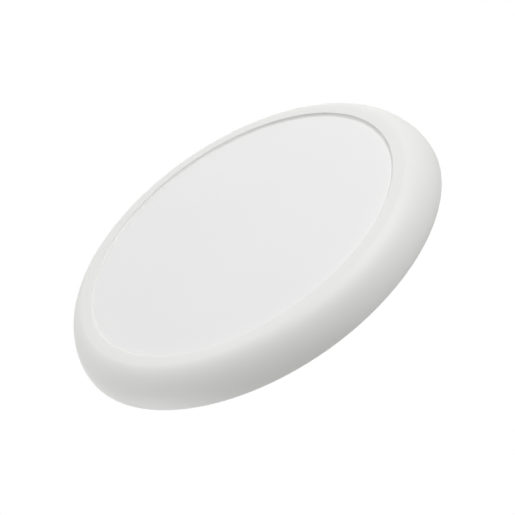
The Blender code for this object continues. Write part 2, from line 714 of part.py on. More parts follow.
def make_trim_ring(parent):
    """Spun shell: rounded outside, flat crown, inner wall and the lip that is riveted on."""
    back = TRIM_RADIUS - TRIM_TUCK
    wall_outer = FACE_RADIUS + TRIM_WALL
    profile = [(back, CEILING)]
    profile += rim_curve(TRIM_RADIUS, TRIM_HEIGHT, 10)
    profile += arc(FACE_RADIUS + EDGE_ROUND, CROWN + EDGE_ROUND, EDGE_ROUND, -math.pi / 2.0, -math.pi, 2)
    profile += [
        (FACE_RADIUS, TRIM_LIP_TOP),
        (TRIM_LIP_RADIUS, TRIM_LIP_TOP),
        (TRIM_LIP_RADIUS, TRIM_LIP_TOP - TRIM_LIP),
        (wall_outer, TRIM_LIP_TOP - TRIM_LIP),
        (wall_outer, CROWN + TRIM_WALL),
    ]
    inside = rim_curve(TRIM_RADIUS - TRIM_WALL, TRIM_HEIGHT - TRIM_WALL, 4)
    profile += inside[::-1]
    profile += [(back - TRIM_WALL, CEILING)]
    ring = turned("trim_ring", profile, FINE_STEPS, True, PARTS)
    for index in range(CLIP_COUNT):
        hole = cylinder(
            "trim_hole_%d" % (index + 1),
            RIVET_RADIUS + SEAT_GAP,
            TRIM_LIP_TOP - TRIM_LIP - RIVET_HEAD / 2.0,
            TRIM_LIP_TOP + MM,
            SMALL_STEPS,
            TOOLS,
        )
        turn_about_axis(hole, around(index, CLIP_COUNT, RIVET_START), TRIM_RIVET_CIRCLE)
        combine(ring, hole, "DIFFERENCE")
    return finish(ring, parent, "white")


def make_rivet(name, low, high, angle, distance, parent):
    """Rivet through everything between two heights, with a head at each end."""
    top = high + SEAT_GAP
    bottom = low - SEAT_GAP
    profile = [
        (0.0, top + RIVET_HEAD),
        (RIVET_HEAD_RADIUS * 0.6, top + RIVET_HEAD * 0.85),
        (RIVET_HEAD_RADIUS, top + RIVET_HEAD * 0.3),
        (RIVET_HEAD_RADIUS, top),
        (RIVET_RADIUS, top),
        (RIVET_RADIUS, bottom),
        (RIVET_HEAD_RADIUS, bottom),
        (RIVET_HEAD_RADIUS, bottom - RIVET_HEAD * 0.5),
        (RIVET_HEAD_RADIUS - EDGE_CHAMFER, bottom - RIVET_HEAD * 0.7),
        (0.0, bottom - RIVET_HEAD * 0.7),
    ]
    rivet = turned(name, profile, SMALL_STEPS, False, PARTS)
    turn_about_axis(rivet, angle, distance)
    return finish(rivet, parent, "stainless")


def make_cover_plate(parent):
    """Flat dish with a short lip round its back."""
    profile = [
        (0.0, COVER_BACK),
        (COVER_LIP_INNER, COVER_BACK),
        (COVER_LIP_INNER, COVER_BACK + COVER_LIP),
        (COVER_RADIUS, COVER_BACK + COVER_LIP),
        (COVER_RADIUS, COVER_FACE + EDGE_ROUND),
        (COVER_RADIUS - EDGE_ROUND, COVER_FACE),
        (0.0, COVER_FACE),
    ]
    plate = turned("cover_plate", profile, FINE_STEPS, False, PARTS)
    return finish(plate, parent, "white")


def make_cover_tab(index, parent):
    """Stepped bracket on the cover's back, and the solder that holds it to the flange."""
    angle = around(index, CLIP_COUNT, TAB_START)
    low = COVER_BACK + FILM_GAP
    high = FLANGE_BOTTOM - TAB_FILM - 2.0 * FILM_GAP
    half = CLIP_SPACE / 2.0
    riser = TAB_SHEET / 2.0
    outline = [
        (-half, low),
        (riser, low),
        (riser, high - TAB_SHEET),
        (half, high - TAB_SHEET),
        (half, high),
        (-riser, high),
        (-riser, low + TAB_SHEET),
        (-half, low + TAB_SHEET),
    ]
    tab = flat("cover_tab_%d" % (index + 1), [outline], TAB_WIDTH, PARTS)
    tab.rotation_euler.x = math.pi / 2.0
    turn_about_axis(tab, angle, CLIP_CIRCLE)
    finish(tab, parent, "copper")
    pad = box(
        "solder_pad_%d" % (index + 1),
        (-riser, SOLDER_SIDE_INSET - TAB_WIDTH / 2.0, high + FILM_GAP),
        (half - SOLDER_END_INSET, TAB_WIDTH / 2.0 - SOLDER_SIDE_INSET, high + FILM_GAP + TAB_FILM),
        PARTS,
    )
    middle = CLIP_CIRCLE + (half - SOLDER_END_INSET - riser) / 2.0
    turn_about_axis(pad, angle, middle)
    finish(pad, parent, "solder")


def make_ejector_spring(index, parent):
    """Leaf spring: fixed end under the flange, free end bowed down to the cover's back."""
    angle = around(index, CLIP_COUNT, SPRING_START)
    high = FLANGE_BOTTOM - SEAT_GAP
    low = COVER_BACK + SEAT_GAP + SPRING_SHEET
    half = SPRING_WIDTH / 2.0
    points = []
    faces = []
    for i in range(SPRING_STEPS + 1):
        along = i / SPRING_STEPS
        bow = min(max((along - BOW_START) / (BOW_END - BOW_START), 0.0), 1.0)
        height = high + (low - high) * (1.0 - math.cos(math.pi * bow)) / 2.0
        if along > BOW_END:
            height += SPRING_TOE * (along - BOW_END) / (1.0 - BOW_END)
        y = SPRING_LENGTH * (along - 0.5)
        points += [(-half, y, height), (half, y, height)]
        if i:
            start = 2 * i
            faces.append((start - 2, start - 1, start + 1, start))
    mesh = bpy.data.meshes.new("ejector_spring_%d" % (index + 1))
    mesh.from_pydata(points, [], faces)
    spring = add_object(mesh.name, mesh, PARTS)
    sheet = spring.modifiers.new("sheet", "SOLIDIFY")
    sheet.thickness = SPRING_SHEET
    sheet.offset = -1.0
    turn_about_axis(spring, angle, CLIP_CIRCLE)
    hole = cylinder(
        "spring_hole_%d" % (index + 1), RIVET_RADIUS + SEAT_GAP, high - MM, high + MM, SMALL_STEPS, TOOLS
    )
    turn_about_axis(hole, angle, CLIP_CIRCLE)
    along_spring(hole, angle)
    combine(spring, hole, "DIFFERENCE")
    finish(spring, parent, "stainless")
    name = "spring_rivet_%d" % (index + 1)
    rivet = make_rivet(name, high - SPRING_SHEET, FLANGE_TOP, angle, CLIP_CIRCLE, parent)
    along_spring(rivet, angle)


def build():
    head = add_empty("head", (0.0, 0.0, 0.0))
    valve = add_empty("valve", (0.0, 0.0, 0.0), head)
    hanger = add_empty("deflector_slide", (0.0, 0.0, 0.0), head)
    front = add_empty("retainer_slide", (0.0, 0.0, 0.0), head)
    cover = add_empty("cover_slide", (0.0, 0.0, 0.0), front)
    right_pivot = add_empty("lever_right_pivot", (PIVOT_X, 0.0, PIVOT_Z), head)
    left_pivot = add_empty("lever_left_pivot", (-PIVOT_X, 0.0, PIVOT_Z), head)
    right_link = add_empty("link_right_slide", (0.0, 0.0, 0.0), head)
    left_link = add_empty("link_left_slide", (0.0, 0.0, 0.0), head)

    make_body(head)
    make_cup(head)
    for name, y in GUIDES:
        make_guide_tube(name, y, head)
        make_guide_pin(name, y, hanger)
    make_deflector(hanger)
    make_valve(valve)
    make_lever("lever_right", 1.0, right_pivot)
    make_lever("lever_left", -1.0, left_pivot)
    make_link_plate("link_plate_right", 1.0, LINK_UPPER_BOTTOM, right_link)
    make_link_plate("link_plate_left", -1.0, LINK_BOTTOM, left_link)
    make_link_solder(right_link)

    make_retainer(front)
    make_trim_ring(front)
    make_cover_plate(cover)
    for index in range(CLIP_COUNT):
        make_rivet(
            "trim_rivet_%d" % (index + 1),
            TRIM_LIP_TOP - TRIM_LIP,
            FLANGE_TOP,
            around(index, CLIP_COUNT, RIVET_START),
            TRIM_RIVET_CIRCLE,
            front,
        )
        make_ejector_spring(index, front)
        make_cover_tab(index, cover)


# Corners of one thread turn: share of the pitch, and share of the depth
THREAD_FORM = ((0.0, 0.0), (0.14, 0.0), (0.57, 1.0))
THREAD_LEAD_IN = 1

# Shares of a leaf spring's length where its bow starts and ends
BOW_START = 0.3
BOW_END = 0.85

# Where the fixings stand round the axis
RIVET_START = math.radians(90.0)
TAB_START = math.radians(30.0)
SPRING_START = math.radians(90.0)
SLOT_START = math.radians(30.0)
GUIDES = (("front", -GUIDE_Y), ("back", GUIDE_Y))

# Colour, roughness and metallic share of each finish
FINISHES = {
    "white": ((0.86, 0.86, 0.85), 0.45, 0.0),
    "brass": ((0.78, 0.57, 0.25), 0.32, 1.0),
    "bronze": ((0.66, 0.40, 0.20), 0.35, 1.0),
    "copper": ((0.75, 0.42, 0.27), 0.35, 1.0),
    "nickel": ((0.66, 0.63, 0.56), 0.3, 1.0),
    "steel": ((0.60, 0.61, 0.62), 0.4, 1.0),
    "dark_steel": ((0.20, 0.20, 0.21), 0.45, 1.0),
    "stainless": ((0.68, 0.68, 0.67), 0.28, 1.0),
    "solder": ((0.52, 0.53, 0.55), 0.5, 1.0),
}

for old in list(bpy.data.objects):
    bpy.data.objects.remove(old)
PARTS = make_collection("fire_sprinkler_head")
TOOLS = make_collection("cutters")
build()
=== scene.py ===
"""Looks of a concealed fire sprinkler head: smooth white trim and cover, a threaded brass body,
finishes for every piece, the camera at the photograph's angle and soft studio light.

Metres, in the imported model's own frame: +Z up along the pipe thread, the cover facing -Z.
"""

import json
import math

import bmesh
import bpy
from mathutils import Matrix, Vector


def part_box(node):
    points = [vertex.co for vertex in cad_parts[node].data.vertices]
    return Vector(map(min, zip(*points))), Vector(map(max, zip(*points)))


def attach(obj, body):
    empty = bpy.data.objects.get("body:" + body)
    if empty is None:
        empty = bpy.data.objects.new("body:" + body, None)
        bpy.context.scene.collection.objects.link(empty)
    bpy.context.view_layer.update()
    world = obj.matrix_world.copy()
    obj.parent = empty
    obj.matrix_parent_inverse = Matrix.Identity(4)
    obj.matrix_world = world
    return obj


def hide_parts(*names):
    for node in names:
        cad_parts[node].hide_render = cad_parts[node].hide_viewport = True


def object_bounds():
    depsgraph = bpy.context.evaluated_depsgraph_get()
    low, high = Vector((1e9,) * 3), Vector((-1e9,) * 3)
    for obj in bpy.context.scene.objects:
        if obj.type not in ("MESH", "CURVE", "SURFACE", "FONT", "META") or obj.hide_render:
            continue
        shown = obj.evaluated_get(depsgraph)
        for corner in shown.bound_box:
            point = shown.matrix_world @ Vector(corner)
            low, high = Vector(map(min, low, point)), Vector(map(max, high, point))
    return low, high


MM = 0.001

# Meshes: angles below which edges are shaded smooth, reach within which corners are joined,
# and how far a cutting tool goes past what it cuts
SMOOTH_BELOW = math.radians(32.0)
CAD_SMOOTH_BELOW = math.radians(34.0)
WELD_REACH = 0.001 * MM
CUT_MARGIN = 1.0 * MM
ON_AXIS = 1e-9

# Trim and cover, where the frame's boxes don't give the size
TRIM_TUCK = 1.0 * MM
TRIM_WIDEST = 1.0 * MM
TRIM_ROUND = 5.05 * MM
# Power of the rim's curve, where 2 is a plain ellipse
TRIM_CURVE = 1.73
TRIM_WALL = 1.0 * MM
TRIM_LIP = 1.0 * MM
TRIM_LIP_RISE = 3.2 * MM
TRIM_LIP_REACH = 3.4 * MM
TRIM_BACK_BREAK = 0.15 * MM
TRIM_BACK_DROP = 0.12 * MM
TRIM_EDGE = 0.12 * MM
CROWN_WIDTH = 2.4 * MM
# Slope of the hollow step between crown and face, in degrees, at its edge and at its foot
STEP_STEEP = 66.0
STEP_SHALLOW = 20.0
COVER_SHEET = 0.8 * MM
COVER_EDGE = 0.05 * MM
COVER_FIT = 0.01 * MM
COVER_INNER_ROUND = 0.4 * MM

# Straight pieces that a curve of the trim or the cover is made of
SMOOTH_STEPS = 240
RIM_STEPS = 40
RIM_INSIDE_STEPS = 20
STEP_EDGE_STEPS = 5
STEP_HOLLOW_STEPS = 10
COVER_EDGE_STEPS = 6
COVER_INNER_STEPS = 4

# Body: thread, hexagon, bore and lever space
THREAD_RADIUS = 10.6 * MM
THREAD_TAPER = 1.0 / 32.0
THREAD_PITCH = 25.4 * MM / 14.0
THREAD_DEPTH = 1.2 * MM
THREAD_RUN_OUT = 1.5 * MM
THREAD_CHAMFER = 0.9 * MM
# Turns below the hexagon's top, and turns more than the length needs
THREAD_LEAD_IN = 1.0
THREAD_SPARE_TURNS = 2
THREAD_STEPS = 96
# Corners of one thread turn: share of the pitch, and share of the depth
THREAD_FORM = (
    (0.0, 0.02),
    (0.03, 0.0),
    (0.11, 0.0),
    (0.14, 0.02),
    (0.545, 0.97),
    (0.565, 1.0),
    (0.59, 0.97),
)
HEX_SIDES = 6
HEX_HEIGHT = 4.0 * MM
# The cone that turns off the hexagon's corners, from inside the flats to past the corners
HEX_CONE_INSET = 0.5 * MM
HEX_CONE_RISE = 0.1 * MM
HEX_CONE_REACH = 2.4 * MM
HEX_CONE_DEPTH = 1.35 * MM
BOSS_RADIUS = 10.0 * MM
BOSS_HEIGHT = 3.3 * MM
BOSS_TOP = -2.0 * MM
BOSS_EDGE = 0.25 * MM
WATERWAY_RADIUS = 5.5 * MM
WATERWAY_FLARE = 0.5 * MM
VALVE_BORE_RADIUS = 7.2 * MM
VALVE_SEAT_HEIGHT = 1.8 * MM
ARM_WIDTH = 8.0 * MM
ARM_INNER = 7.3 * MM
LEDGE_INNER = 5.4 * MM
LEDGE_HEIGHT = 1.5 * MM
GROOVE_TOP = -5.4 * MM
GROOVE_HEIGHT = 1.0 * MM
GROOVE_DEPTH = 0.73 * MM
ROUND_STEPS = 96

# Powder coats: main colour and second tone
COATS = {
    "white_trim": ((0.832, 0.832, 0.815), (0.822, 0.822, 0.806)),
    "white_cover": ((0.852, 0.852, 0.849), (0.844, 0.844, 0.842)),
}
COAT_TONE_SCALE = 45.0
COAT_GRAIN_SCALE = 2600.0
COAT_PEEL_SCALE = 900.0
COAT_PEEL_DEPTH = 0.006 * MM
COAT_ROUGHNESS = (0.40, 0.50)
COAT_SPECULAR = 0.4

# Metals: main colour, tarnish, and lowest and highest roughness; for sheets also the grain's stretch
EVEN = (1.0, 1.0, 1.0)
DRAWN = (1.0, 1.0, 0.06)
ROLLED = (0.08, 1.0, 1.0)
BRASS = ((0.74, 0.57, 0.30), (0.63, 0.46, 0.23), 0.24, 0.46)
SHEET_METALS = {
    "bronze": ((0.72, 0.43, 0.22), (0.58, 0.33, 0.16), 0.26, 0.42, ROLLED),
    "copper": ((0.80, 0.45, 0.30), (0.64, 0.33, 0.21), 0.26, 0.42, ROLLED),
    "plated_steel": ((0.63, 0.64, 0.66), (0.54, 0.55, 0.55), 0.30, 0.46, DRAWN),
    "dark_steel": ((0.16, 0.16, 0.17), (0.10, 0.10, 0.11), 0.30, 0.50, EVEN),
    "stainless": ((0.70, 0.70, 0.69), (0.60, 0.60, 0.59), 0.20, 0.36, EVEN),
    "nickel": ((0.70, 0.67, 0.60), (0.58, 0.55, 0.49), 0.24, 0.38, ROLLED),
}
SMUDGE_SCALE = 160.0
LATHE_PITCH = 0.22 * MM
LATHE_DEPTH = 0.004 * MM
SHEET_GRAIN_SCALE = 2200.0
SHEET_GRAIN_DEPTH = 0.005 * MM
SHEET_MOTTLE_SCALE = 210.0
SOLDER_TONES = ((0.58, 0.59, 0.61), (0.40, 0.41, 0.43))
SOLDER_ROUGHNESS = (0.38, 0.62)
SOLDER_LUMP_SCALE = 700.0
SOLDER_LUMP_DEPTH = 0.05 * MM
SOLDER_BLOOM_SCALE = 2400.0

# The part of a noise's range that a finish is spread over
NOISE_LOW = 0.25
NOISE_HIGH = 0.75
# Places of the colour sockets on Blender's Mix node
MIX_FIRST = 6
MIX_SECOND = 7
MIX_RESULT = 2

# Camera, measured against the photograph
VIEW_DISTANCE = 215.6 * MM
VIEW_OFF_AXIS = math.radians(58.01)
VIEW_ROLL = math.radians(-34.416)
VIEW_FOCAL_PIXELS = 1043.1
VIEW_CLIP = 5.0 * MM
PHOTO_PIXELS = 515.0
PHOTO_CENTRE = 257.0
DISC_PIXEL_X = 251.83
DISC_PIXEL_Y = 250.12
SENSOR_MM = 36.0

# Light from all round, and how much it grows towards +X (left in the photograph), +Y and +Z
WORLD_LIGHT = 0.36
WORLD_SLOPE = (0.145, 0.21, 0.185)
# Lamps, all aimed at the origin: name, place, size and power
LAMPS = (
    ("key", (-0.4, 0.0, -0.95), 1.0, 9.6),
    ("right", (-0.579, -0.689, 0.315), 0.8, 2.4),
    ("left", (0.886, -0.156, 0.315), 0.8, 4.1),
    ("top", (0.10, 0.15, 0.8), 0.6, 1.0),
)

FLOOR_DROP = 1.2
FLOOR_RADIUS = 12.0
FLOOR_SIDES = 64
FLOOR_TONES = ((0.80, 0.80, 0.80), (0.82, 0.82, 0.82))
FLOOR_TONE_SCALE = 3.0
FLOOR_ROUGHNESS = 0.9
# The floor fades to the white of the surroundings between these distances
FLOOR_FADE = (1.5, 6.0)
FLOOR_GLOW = (0.4, 0.65)

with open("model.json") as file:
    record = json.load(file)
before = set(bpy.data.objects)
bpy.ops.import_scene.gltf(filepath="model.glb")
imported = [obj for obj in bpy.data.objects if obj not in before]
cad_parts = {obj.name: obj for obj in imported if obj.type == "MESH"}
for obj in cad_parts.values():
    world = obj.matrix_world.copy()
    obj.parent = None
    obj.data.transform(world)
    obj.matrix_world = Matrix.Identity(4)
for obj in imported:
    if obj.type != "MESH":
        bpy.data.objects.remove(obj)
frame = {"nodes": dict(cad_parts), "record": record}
cad_low, cad_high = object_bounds()
NODES = frame["nodes"]


# Meshes

def add_piece(name, shape):
    """Turn a finished bmesh into an object of the scene."""
    mesh = bpy.data.meshes.new(name)
    shape.to_mesh(mesh)
    shape.free()
    piece = bpy.data.objects.new(name, mesh)
    bpy.context.scene.collection.objects.link(piece)
    return piece


def shade(mesh):
    mesh.shade_smooth()
    mesh.set_sharp_from_angle(angle=SMOOTH_BELOW)


def spin(name, profile, steps, closed=True):
    """A body of revolution; the profile of (radius, height) runs down on its outer side."""
    shape = bmesh.new()
    rings = []
    for radius, height in profile:
        if radius < ON_AXIS:
            rings.append([shape.verts.new((0.0, 0.0, height))])
            continue
        ring = []
        for i in range(steps):
            angle = 2.0 * math.pi * i / steps
            ring.append(shape.verts.new((radius * math.cos(angle), radius * math.sin(angle), height)))
        rings.append(ring)
    pairs = list(zip(rings, rings[1:]))
    if closed:
        pairs.append((rings[-1], rings[0]))
    for upper, lower in pairs:
        join_rings(shape, upper, lower, steps)
    piece = add_piece(name, shape)
    shade(piece.data)
    return piece


def join_rings(shape, upper, lower, steps):
    """Faces between two rings of corners, of which one may be a single point on the axis."""
    for i in range(steps):
        j = (i + 1) % steps
        if len(upper) == 1:
            shape.faces.new((upper[0], lower[i], lower[j]))
        elif len(lower) == 1:
            shape.faces.new((upper[i], lower[0], upper[j]))
        else:
            shape.faces.new((upper[i], lower[i], lower[j], upper[j]))


def box(name, low, high):
    shape = bmesh.new()
    bmesh.ops.create_cube(shape, size=1.0)
    for vert in shape.verts:
        vert.co = [a + (b - a) * (c + 0.5) for a, b, c in zip(low, high, vert.co)]
    return add_piece(name, shape)


def combine(piece, tool, operation):
    """Apply a Boolean at once and drop the helper solid."""
    step = piece.modifiers.new(tool.name, "BOOLEAN")
    step.operation = operation
    step.solver = "EXACT"
    step.object = tool
    graph = bpy.context.evaluated_depsgraph_get()
    mesh = bpy.data.meshes.new_from_object(piece.evaluated_get(graph))
    piece.modifiers.clear()
    piece.data = mesh
    bpy.data.objects.remove(tool)


def weld(mesh):
    """Join the all but equal corners that Booleans leave behind."""
    shape = bmesh.new()
    shape.from_mesh(mesh)
    bmesh.ops.remove_doubles(shape, verts=shape.verts, dist=WELD_REACH)
    shape.to_mesh(mesh)
    shape.free()


def arc(centre_r, centre_z, radius, start, end, count):
    """Points of a profile along a circle, from start to end in degrees."""
    points = []
    for i in range(count + 1):
        angle = math.radians(start + (end - start) * i / count)
        points.append((centre_r + radius * math.cos(angle), centre_z + radius * math.sin(angle)))
    return points


# White front

def rim_curve(widest, crown_radius, top, bottom, count):
    """Points of the rim's curve, from its widest place down to the crown."""
    points = []
    for i in range(count + 1):
        angle = math.pi / 2.0 * i / count
        out = max(math.cos(angle), 0.0) ** (2.0 / TRIM_CURVE)
        down = math.sin(angle) ** (2.0 / TRIM_CURVE)
        points.append((crown_radius + (widest - crown_radius) * out, top - (top - bottom) * down))
    return points


def step_wall(foot_radius, crown, face):
    """The step from the crown up to the face: a broken edge, then a hollow wall."""
    steep = math.radians(STEP_STEEP)
    shallow = math.radians(STEP_SHALLOW)
    wall_height = face - crown - TRIM_EDGE * (1.0 - math.cos(steep))
    hollow = wall_height / (math.cos(shallow) - math.cos(steep))
    reach = hollow * (math.sin(steep) - math.sin(shallow))
    edge_r = foot_radius + reach + TRIM_EDGE * math.sin(steep)
    edge_z = crown + TRIM_EDGE
    points = arc(edge_r, edge_z, TRIM_EDGE, 270.0, 270.0 - STEP_STEEP, STEP_EDGE_STEPS)
    wall_r = foot_radius - hollow * math.sin(shallow)
    wall_z = face - hollow * math.cos(shallow)
    wall = arc(wall_r, wall_z, hollow, 90.0 - STEP_STEEP, 90.0 - STEP_SHALLOW, STEP_HOLLOW_STEPS)
    return points + wall[1:]


def make_trim_ring():
    low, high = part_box("trim_ring")
    cover_low, cover_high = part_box("cover_plate")
    radius = high.x
    ceiling = high.z
    crown = low.z
    widest = ceiling - TRIM_WIDEST
    crown_radius = radius - TRIM_ROUND
    face_radius = crown_radius - CROWN_WIDTH
    foot_radius = cover_high.x + COVER_FIT
    lip_top = crown + TRIM_LIP_RISE
    lip_radius = face_radius + TRIM_LIP_REACH
    wall = face_radius + TRIM_WALL
    back = radius - TRIM_TUCK
    profile = [(back - TRIM_WALL + TRIM_BACK_BREAK, ceiling), (back - TRIM_BACK_BREAK, ceiling)]
    profile += [(back, ceiling - TRIM_BACK_DROP)]
    profile += rim_curve(radius, crown_radius, widest, crown, RIM_STEPS)
    profile += step_wall(foot_radius, crown, cover_low.z)
    profile += [(foot_radius, lip_top), (lip_radius, lip_top), (lip_radius, lip_top - TRIM_LIP)]
    profile += [(wall, lip_top - TRIM_LIP), (wall, crown + TRIM_WALL)]
    inside = rim_curve(radius - TRIM_WALL, crown_radius, widest, crown + TRIM_WALL, RIM_INSIDE_STEPS)
    profile += inside[::-1]
    ring = spin("trim_ring_smooth", profile, SMOOTH_STEPS)
    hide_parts("trim_ring")
    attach(ring, "front")
    return ring


def make_cover_plate():
    low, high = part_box("cover_plate")
    radius = high.x
    face = low.z
    back = face + COVER_SHEET
    lip_inner = radius - COVER_SHEET
    flat = lip_inner - COVER_INNER_ROUND
    edge = radius - COVER_EDGE
    profile = [(0.0, back), (flat, back)]
    profile += arc(
        flat, back + COVER_INNER_ROUND, COVER_INNER_ROUND, 270.0, 360.0, COVER_INNER_STEPS
    )[1:]
    profile += [(lip_inner, high.z), (radius, high.z), (radius, face + COVER_EDGE)]
    profile += arc(edge, face + COVER_EDGE, COVER_EDGE, 360.0, 270.0, COVER_EDGE_STEPS)[1:]
    profile += [(0.0, face)]
    plate = spin("cover_plate_smooth", profile, SMOOTH_STEPS, closed=False)
    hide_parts("cover_plate")
    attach(plate, "cover")
    return plate


# Brass body

def thread_point(row, step):
    """A point of the pipe thread; the rows of points climb along the helix."""
    turn, corner = divmod(row, len(THREAD_FORM))
    share, sunk = THREAD_FORM[corner]
    angle = 2.0 * math.pi * step / THREAD_STEPS
    height = THREAD_PITCH * (turn + share + step / THREAD_STEPS - THREAD_LEAD_IN)
    cut = THREAD_DEPTH * sunk * min(max(height / THREAD_RUN_OUT, 0.0), 1.0)
    radius = THREAD_RADIUS - THREAD_TAPER * height - cut
    return Vector((radius * math.cos(angle), radius * math.sin(angle), height))


def make_thread(top):
    """Tapered thread as one closed solid, made too long and then cut to length."""
    form = len(THREAD_FORM)
    rows = form * (math.ceil(top / THREAD_PITCH) + THREAD_SPARE_TURNS)
    shape = bmesh.new()
    grid = []
    for row in range(rows):
        grid.append([shape.verts.new(thread_point(row, step)) for step in range(THREAD_STEPS)])
    for row in range(rows - 1):
        for step in range(THREAD_STEPS - 1):
            here, above = grid[row], grid[row + 1]
            shape.faces.new((here[step], here[step + 1], above[step + 1], above[step]))
        if row + form + 1 < rows:
            start, end = grid[row + form], grid[row + form + 1]
            shape.faces.new((grid[row][-1], start[0], end[0], grid[row + 1][-1]))
    lower_rim = grid[0] + [grid[row][0] for row in range(form, 0, -1)]
    upper_rim = grid[-1] + [grid[-1 - row][-1] for row in range(1, form + 1)]
    foot = shape.verts.new((0.0, 0.0, grid[0][0].co.z))
    head = shape.verts.new((0.0, 0.0, grid[-1][-1].co.z))
    for first, second in zip(lower_rim, lower_rim[1:] + lower_rim[:1]):
        shape.faces.new((foot, second, first))
    for first, second in zip(upper_rim, upper_rim[1:] + upper_rim[:1]):
        shape.faces.new((head, first, second))
    thread = add_piece("body_threaded", shape)
    end_radius = THREAD_RADIUS - THREAD_TAPER * top
    reach = THREAD_RADIUS + CUT_MARGIN
    blank = [(0.0, top), (end_radius - THREAD_CHAMFER, top)]
    blank += [(reach, top - THREAD_CHAMFER - reach + end_radius)]
    blank += [(reach, -CUT_MARGIN), (0.0, -CUT_MARGIN)]
    combine(thread, spin("thread_blank", blank, ROUND_STEPS, closed=False), "INTERSECT")
    return thread


def make_hexagon():
    """Hexagon bar with its corners turned off at both ends."""
    corner, flat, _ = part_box("body")[1]
    shape = bmesh.new()
    bmesh.ops.create_cone(
        shape, cap_ends=True, segments=HEX_SIDES, radius1=corner, radius2=corner, depth=HEX_HEIGHT
    )
    turn = Matrix.Rotation(math.pi / HEX_SIDES, 4, "Z")
    lower = Matrix.Translation((0.0, 0.0, -HEX_HEIGHT / 2.0))
    bmesh.ops.transform(shape, matrix=lower @ turn, verts=shape.verts)
    hexagon = add_piece("hexagon", shape)
    start = flat - HEX_CONE_INSET
    reach = flat + HEX_CONE_REACH
    limit = [(0.0, HEX_CONE_RISE), (start, HEX_CONE_RISE), (reach, -HEX_CONE_DEPTH)]
    limit += [(reach, -HEX_HEIGHT + HEX_CONE_DEPTH), (start, -HEX_HEIGHT - HEX_CONE_RISE)]
    limit += [(0.0, -HEX_HEIGHT - HEX_CONE_RISE)]
    combine(hexagon, spin("hexagon_limit", limit, ROUND_STEPS, closed=False), "INTERSECT")
    return hexagon


def make_body():
    low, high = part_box("body")
    top = high.z
    arm_bottom = low.z
    boss_bottom = -HEX_HEIGHT - BOSS_HEIGHT
    ledge_top = arm_bottom + LEDGE_HEIGHT
    body = make_thread(top)
    combine(body, make_hexagon(), "UNION")
    boss = [(0.0, BOSS_TOP), (BOSS_RADIUS, BOSS_TOP), (BOSS_RADIUS, arm_bottom + BOSS_EDGE)]
    boss += [(BOSS_RADIUS - BOSS_EDGE, arm_bottom), (0.0, arm_bottom)]
    combine(body, spin("boss", boss, ROUND_STEPS, closed=False), "UNION")
    bore_top = top + CUT_MARGIN
    bore = [(0.0, bore_top), (WATERWAY_RADIUS + WATERWAY_FLARE + CUT_MARGIN, bore_top)]
    bore += [(WATERWAY_RADIUS, top - WATERWAY_FLARE)]
    bore += [(WATERWAY_RADIUS, VALVE_SEAT_HEIGHT), (VALVE_BORE_RADIUS, VALVE_SEAT_HEIGHT)]
    bore += [(VALVE_BORE_RADIUS, boss_bottom - CUT_MARGIN), (0.0, boss_bottom - CUT_MARGIN)]
    combine(body, spin("bore", bore, ROUND_STEPS, closed=False), "DIFFERENCE")
    reach = BOSS_RADIUS + CUT_MARGIN
    below = arm_bottom - CUT_MARGIN
    half = ARM_WIDTH / 2.0
    spaces = [
        ((-ARM_INNER, -reach, ledge_top), (ARM_INNER, reach, boss_bottom)),
        ((-LEDGE_INNER, -reach, below), (LEDGE_INNER, reach, ledge_top + CUT_MARGIN)),
        ((-reach, -reach, below), (reach, -half, boss_bottom)),
        ((-reach, half, below), (reach, reach, boss_bottom)),
    ]
    for corner, opposite in spaces:
        combine(body, box("space", corner, opposite), "DIFFERENCE")
    groove_bottom = GROOVE_TOP - GROOVE_HEIGHT
    groove_floor = BOSS_RADIUS - GROOVE_DEPTH
    groove = [(groove_floor, GROOVE_TOP), (reach, GROOVE_TOP)]
    groove += [(reach, groove_bottom), (groove_floor, groove_bottom)]
    combine(body, spin("groove", groove, ROUND_STEPS), "DIFFERENCE")
    weld(body.data)
    shade(body.data)
    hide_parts("body")
    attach(body, "head")
    return body


# Finishes

class Graph:
    """Short calls for building one material's nodes."""

    def __init__(self, name):
        self.material = bpy.data.materials.new(name)
        self.material.use_nodes = True
        self.tree = self.material.node_tree
        self.shader = self.tree.nodes["Principled BSDF"]

    def node(self, kind, inputs=None, **settings):
        made = self.tree.nodes.new(kind)
        for key, value in settings.items():
            setattr(made, key, value)
        for key, value in (inputs or {}).items():
            self.feed(made.inputs[key], value)
        return made

    def feed(self, socket, value):
        if isinstance(value, bpy.types.NodeSocket):
            self.tree.links.new(value, socket)
        else:
            socket.default_value = value

    def place(self):
        return self.node("ShaderNodeTexCoord").outputs["Object"]

    def noise(self, position, scale, detail=3.0, roughness=0.55):
        inputs = {"Vector": position, "Scale": scale, "Detail": detail, "Roughness": roughness}
        return self.node("ShaderNodeTexNoise", inputs).outputs["Fac"]

    def math(self, operation, first, second=None):
        made = self.node("ShaderNodeMath", {0: first}, operation=operation)
        if second is not None:
            self.feed(made.inputs[1], second)
        return made.outputs[0]

    def spread(self, value, low, high):
        inputs = {"Value": value, "From Min": NOISE_LOW, "From Max": NOISE_HIGH}
        inputs.update({"To Min": low, "To Max": high})
        return self.node("ShaderNodeMapRange", inputs).outputs["Result"]

    def blend(self, factor, first, second):
        made = self.node("ShaderNodeMix", data_type="RGBA")
        self.feed(made.inputs["Factor"], factor)
        made.inputs[MIX_FIRST].default_value = (*first, 1.0)
        made.inputs[MIX_SECOND].default_value = (*second, 1.0)
        return made.outputs[MIX_RESULT]

    def bump(self, height, depth):
        inputs = {"Height": height, "Strength": 1.0, "Distance": depth}
        return self.node("ShaderNodeBump", inputs).outputs["Normal"]

    def set(self, **values):
        for key, value in values.items():
            self.feed(self.shader.inputs[key.replace("_", " ")], value)


